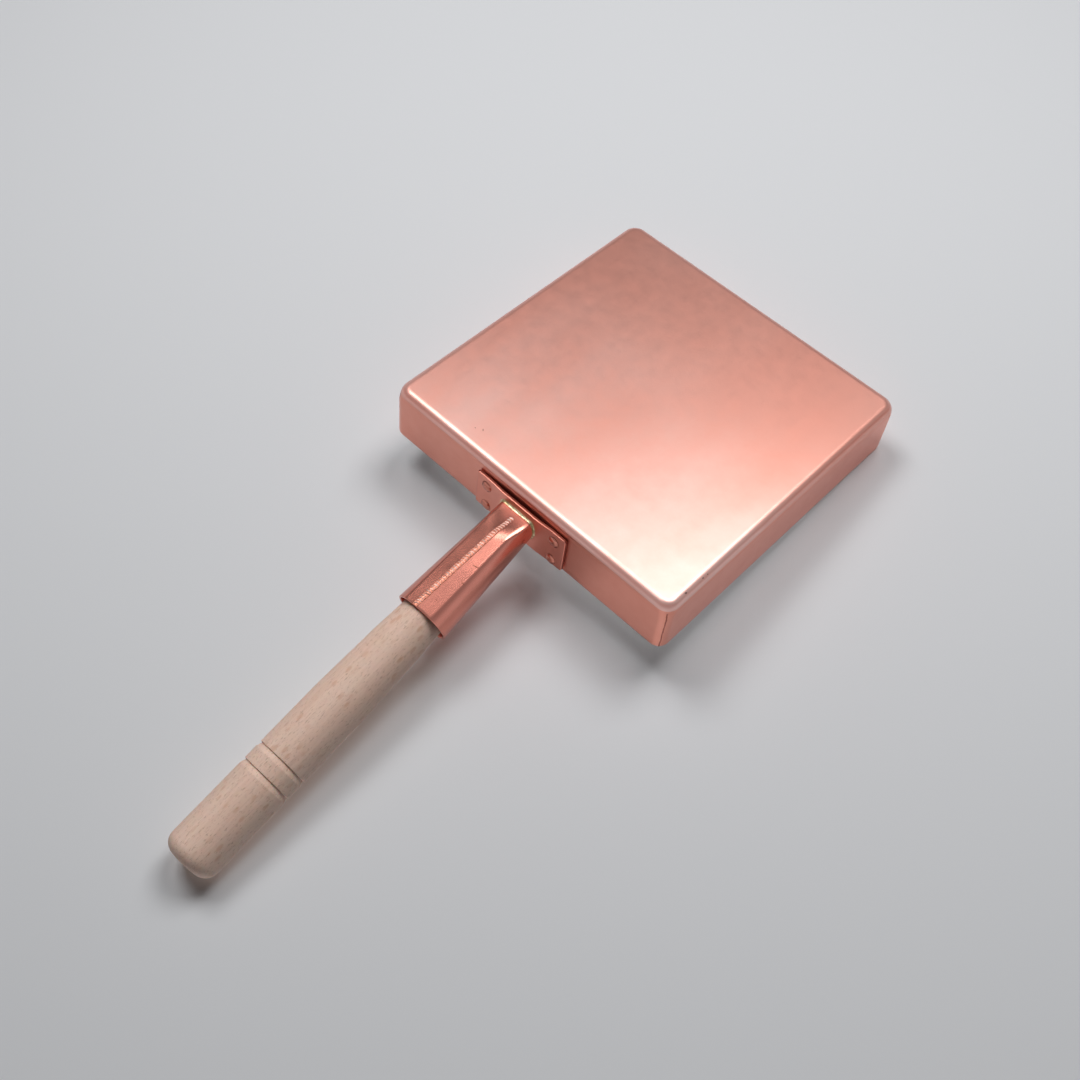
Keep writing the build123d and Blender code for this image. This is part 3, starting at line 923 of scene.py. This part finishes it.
beech, tree, shader, place = newMaterial(
    "beech", Roughness=0.62, Specular_IOR_Level=0.3, Subsurface_Weight=0.2, Subsurface_Scale=0.001,
)
angles = Matrix((wayOut, wayAcross, wayUp)).to_4x4().to_euler()
alongWood = stretched(tree, place, (1, 1, 1), tuple(angles))  # x along the handle
streaks = noiseAt(tree, stretched(tree, alongWood, wood["streakStretch"]), *wood["streaks"])
bands = noiseAt(tree, stretched(tree, alongWood, wood["bandStretch"]), *wood["bands"])
pores = stretched(tree, alongWood, wood["poreStretch"], shift=wood["poreShift"])
pores = mask(tree, noiseAt(tree, pores, *wood["pores"]), *wood["poreEdges"])
values = {"Vector": stretched(tree, alongWood, wood["fleckStretch"]), "Scale": wood["fleckScale"]}
cells = addNode(tree, "ShaderNodeTexVoronoi", values).outputs["Distance"]
where = mask(tree, noiseAt(tree, alongWood, *wood["fleckWhere"]), *wood["fleckEdges"])
flecks = sums(tree, "MULTIPLY", ramp(tree, cells, *wood["fleckStops"]), where)
tone = mixed(tree, mask(tree, streaks, *wood["streakEdges"]), wood["pale"], wood["deep"])
bands = mask(tree, bands, *wood["bandEdges"])
for layer, name in ((bands, "band"), (pores, "pore"), (flecks, "fleck")):
    tone = mixed(tree, layer, tone, wood[name + "Tone"], wood[name + "Share"])
height = sums(tree, "SUBTRACT", streaks, pores)
fill(tree, shader, {
    "Base Color": tone, "Normal": relief(tree, height, wood["bump"], wood["bumpDistance"]),
})
woodenHandle = makePiece("woodenHandle", verts, faces, beech, 30)
finishPiece(woodenHandle, "beech", "wooden_handle")
print("handle made")

# camera, at the photograph's place
view = {
    "lens": 41.86, "sensor": 36, "place": (-0.221951, -0.355592, -0.470352),
    "right": (-0.71784, 0.69283, -0.06843), "up": (0.60212, 0.56849, -0.5606),
    "forward": (0.34951, 0.44363, 0.82525),
}
cameraData = bpy.data.cameras.new("camera")
cameraData.lens = view["lens"]
cameraData.sensor_width = view["sensor"]
camera = addObject("camera", cameraData)
axes = Matrix((Vector(view["right"]), Vector(view["up"]), -Vector(view["forward"])))
camera.matrix_world = Matrix.Translation(view["place"]) @ axes.transposed().to_4x4()
bpy.context.scene.camera = camera

# stage: the table that the upturned pan lies on in the photograph, and a floor for other views
stage = {
    "tableCorners": ((-32, -478), (648, -28), (20, 545), (-420, -118)),  # just outside the frame
    "hole": ((-78, -72), (80, -72), (80, 84), (-78, 84)),  # under the tray, out of sight
    "rimBack": (0, 0.0900, 0.0322), "askance": 0.6, "tone": (0.74, 0.75, 0.77, 1),
    "floorRadius": 1800, "floorLevel": 0.9, "floorSides": 64, "mirroredReach": 91.7,
    "floorFade": (0.35, 1.1), "floorGlow": 0.20,
}


def stageMaterial(name):
    material, tree, shader, place = newMaterial(
        name, Roughness=0.75, Specular_IOR_Level=0.2, Base_Color=stage["tone"],
    )
    path = addNode(tree, "ShaderNodeLightPath").outputs
    backfacing = addNode(tree, "ShaderNodeNewGeometry").outputs["Backfacing"]
    front = sums(tree, "SUBTRACT", 1.0, backfacing)
    return material, tree, shader, place, path, front


def closeStage(tree, seen, shader):
    clear = addNode(tree, "ShaderNodeBsdfTransparent").outputs[0]
    both = addNode(tree, "ShaderNodeMixShader", {0: seen, 1: clear, 2: shader.outputs[0]})
    fill(tree, tree.nodes["Material Output"], {"Surface": both.outputs[0]})


def stagePlane(name, verts, faces, material, towards):
    mesh = bpy.data.meshes.new(name)
    mesh.from_pydata(verts, [], faces)
    if mesh.polygons[0].normal.z * towards < 0:
        mesh.flip_normals()
    mesh.materials.append(material)
    addObject(name, mesh)


# the table touches the tray's back rim and the butt's round, and is seen only from the pan's side
buttEnd = onLine(handle["end"] - handle["butt"], 0, 0) * mm
rimBack = Vector(stage["rimBack"])
fall = (buttEnd.z - rimBack.z) / (rimBack.y - buttEnd.y)
for _ in range(12):
    touch = buttEnd - Vector((0, -fall, -1)).normalized() * (handle["grip"] * mm)
    fall = (touch.z - rimBack.z) / (rimBack.y - touch.y)
tableMaterial, tree, shader, place, path, front = stageMaterial("tableGrey")
unseen = sums(tree, "ADD", path["Is Diffuse Ray"], path["Is Shadow Ray"], clamp=True)
slant = addNode(tree, "ShaderNodeLayerWeight", {"Blend": 0.5}).outputs["Facing"]
slant = sums(tree, "GREATER_THAN", slant, stage["askance"])
unseen = sums(tree, "MULTIPLY_ADD", path["Is Camera Ray"], slant, unseen, clamp=True)
seen = sums(tree, "MULTIPLY", front, sums(tree, "SUBTRACT", 1.0, unseen))
closeStage(tree, seen, shader)
verts = [
    (x * mm, y * mm, rimBack.z + (rimBack.y - y * mm) * fall)
    for x, y in stage["tableCorners"] + stage["hole"]
]
faces = [(k, (k + 1) % 4, 4 + (k + 1) % 4, 4 + k) for k in range(4)]
stagePlane("table", verts, faces, tableMaterial, -1)

# the floor is there for the camera and, close to the tray, for its bend; it fades into the backdrop
floorMaterial, tree, shader, place, path, front = stageMaterial("floorGrey")
away = addNode(tree, "ShaderNodeVectorMath", {0: place}, operation="LENGTH").outputs["Value"]
near = remap(tree, away, *stage["floorFade"], 1.0, 0.0, "SMOOTHSTEP")
sides = parts(tree, place)
alongX, alongY = sums(tree, "ABSOLUTE", sides["X"]), sums(tree, "ABSOLUTE", sides["Y"])
reach = sums(tree, "MAXIMUM", alongX, alongY)
besideTray = sums(tree, "LESS_THAN", reach, stage["mirroredReach"] * mm)
asked = sums(
    tree, "MULTIPLY_ADD", path["Is Glossy Ray"], besideTray, path["Is Camera Ray"], clamp=True,
)
seen = sums(tree, "MULTIPLY", sums(tree, "MULTIPLY", front, asked), near)
fill(tree, shader, {"Emission Color": stage["tone"], "Emission Strength": stage["floorGlow"]})
closeStage(tree, seen, shader)
radius, level = stage["floorRadius"] * mm, stage["floorLevel"] * mm
verts = [(radius * cos(a), radius * sin(a), level) for a in circle(stage["floorSides"])]
stagePlane("floor", verts, [tuple(range(len(verts)))], floorMaterial, 1)

# light: two soft boxes over the upturned pan, and a fill and a wide sun from above the upright one
lamps = (  # name, place, what it faces, size, watts, turn
    ("overheadNear", (0.58, -0.07, -1.12), (0, -0.05, 0.03), 0.5, 7.0, 45),
    ("overheadFar", (-0.03, 0.40, -1.12), (0, -0.05, 0.03), 0.5, 7.3, 45),
    ("topFill", (-0.5, -1.0, 0.9), (0, -0.1, 0), 0.8, 2.5, 0),
)
for name, place, target, size, power, turn in lamps:
    light = bpy.data.lights.new(name, "AREA")
    light.shape = "RECTANGLE"
    light.size, light.size_y = size, size
    light.energy = power
    lamp = addObject(name, light)
    lamp.location = place
    facing = (Vector(target) - Vector(place)).to_track_quat("-Z", "Y").to_matrix()
    lamp.rotation_euler = (facing @ Matrix.Rotation(radians(turn), 3, "Z")).to_euler()
key = {"strength": 1.1, "width": 24, "way": (-0.45, -0.35, -1)}
light = bpy.data.lights.new("topKey", "SUN")
light.energy, light.angle = key["strength"], radians(key["width"])
sun = addObject("topKey", light)
sun.rotation_euler = Vector(key["way"]).to_track_quat("-Z", "Y").to_euler()

# the room's own light: what polished metal mirrors, and what falls softly on all else
studio = {
    "under": (0.42, 0.10), "underWhere": (0.1, 0.6), "around": 0.8, "aroundWhere": (-0.5, -0.3),
    "soft": (0.03, 0.28), "softWhere": (-0.1, 0.2), "colour": (0.93, 0.95, 1.0, 1),
}
world = bpy.data.worlds.new("studio")
bpy.context.scene.world = world
world.use_nodes = True
tree = world.node_tree
path = addNode(tree, "ShaderNodeLightPath").outputs
backdrop = addNode(tree, "ShaderNodeBackground", {"Color": stage["tone"], "Strength": 1.0})
facing = parts(tree, addNode(tree, "ShaderNodeTexCoord").outputs["Generated"])
aside = sums(tree, "ADD", facing["X"], facing["Y"])
under = remap(tree, aside, *studio["underWhere"], *studio["under"])
mirrored = remap(tree, facing["Z"], *studio["aroundWhere"], under, studio["around"])
soft = remap(tree, facing["Z"], *studio["softWhere"], *studio["soft"])
isGlossy = path["Is Glossy Ray"]
soft = sums(tree, "MULTIPLY", sums(tree, "SUBTRACT", 1.0, isGlossy), soft)
glow = sums(tree, "MULTIPLY_ADD", isGlossy, mirrored, soft)
ambient = addNode(tree, "ShaderNodeBackground", {"Color": studio["colour"], "Strength": glow})
values = {0: path["Is Camera Ray"], 1: ambient.outputs[0], 2: backdrop.outputs[0]}
both = addNode(tree, "ShaderNodeMixShader", values)
fill(tree, tree.nodes["World Output"], {"Surface": both.outputs[0]})
bpy.context.scene.view_settings.view_transform = "Standard"
print("stage and light made")
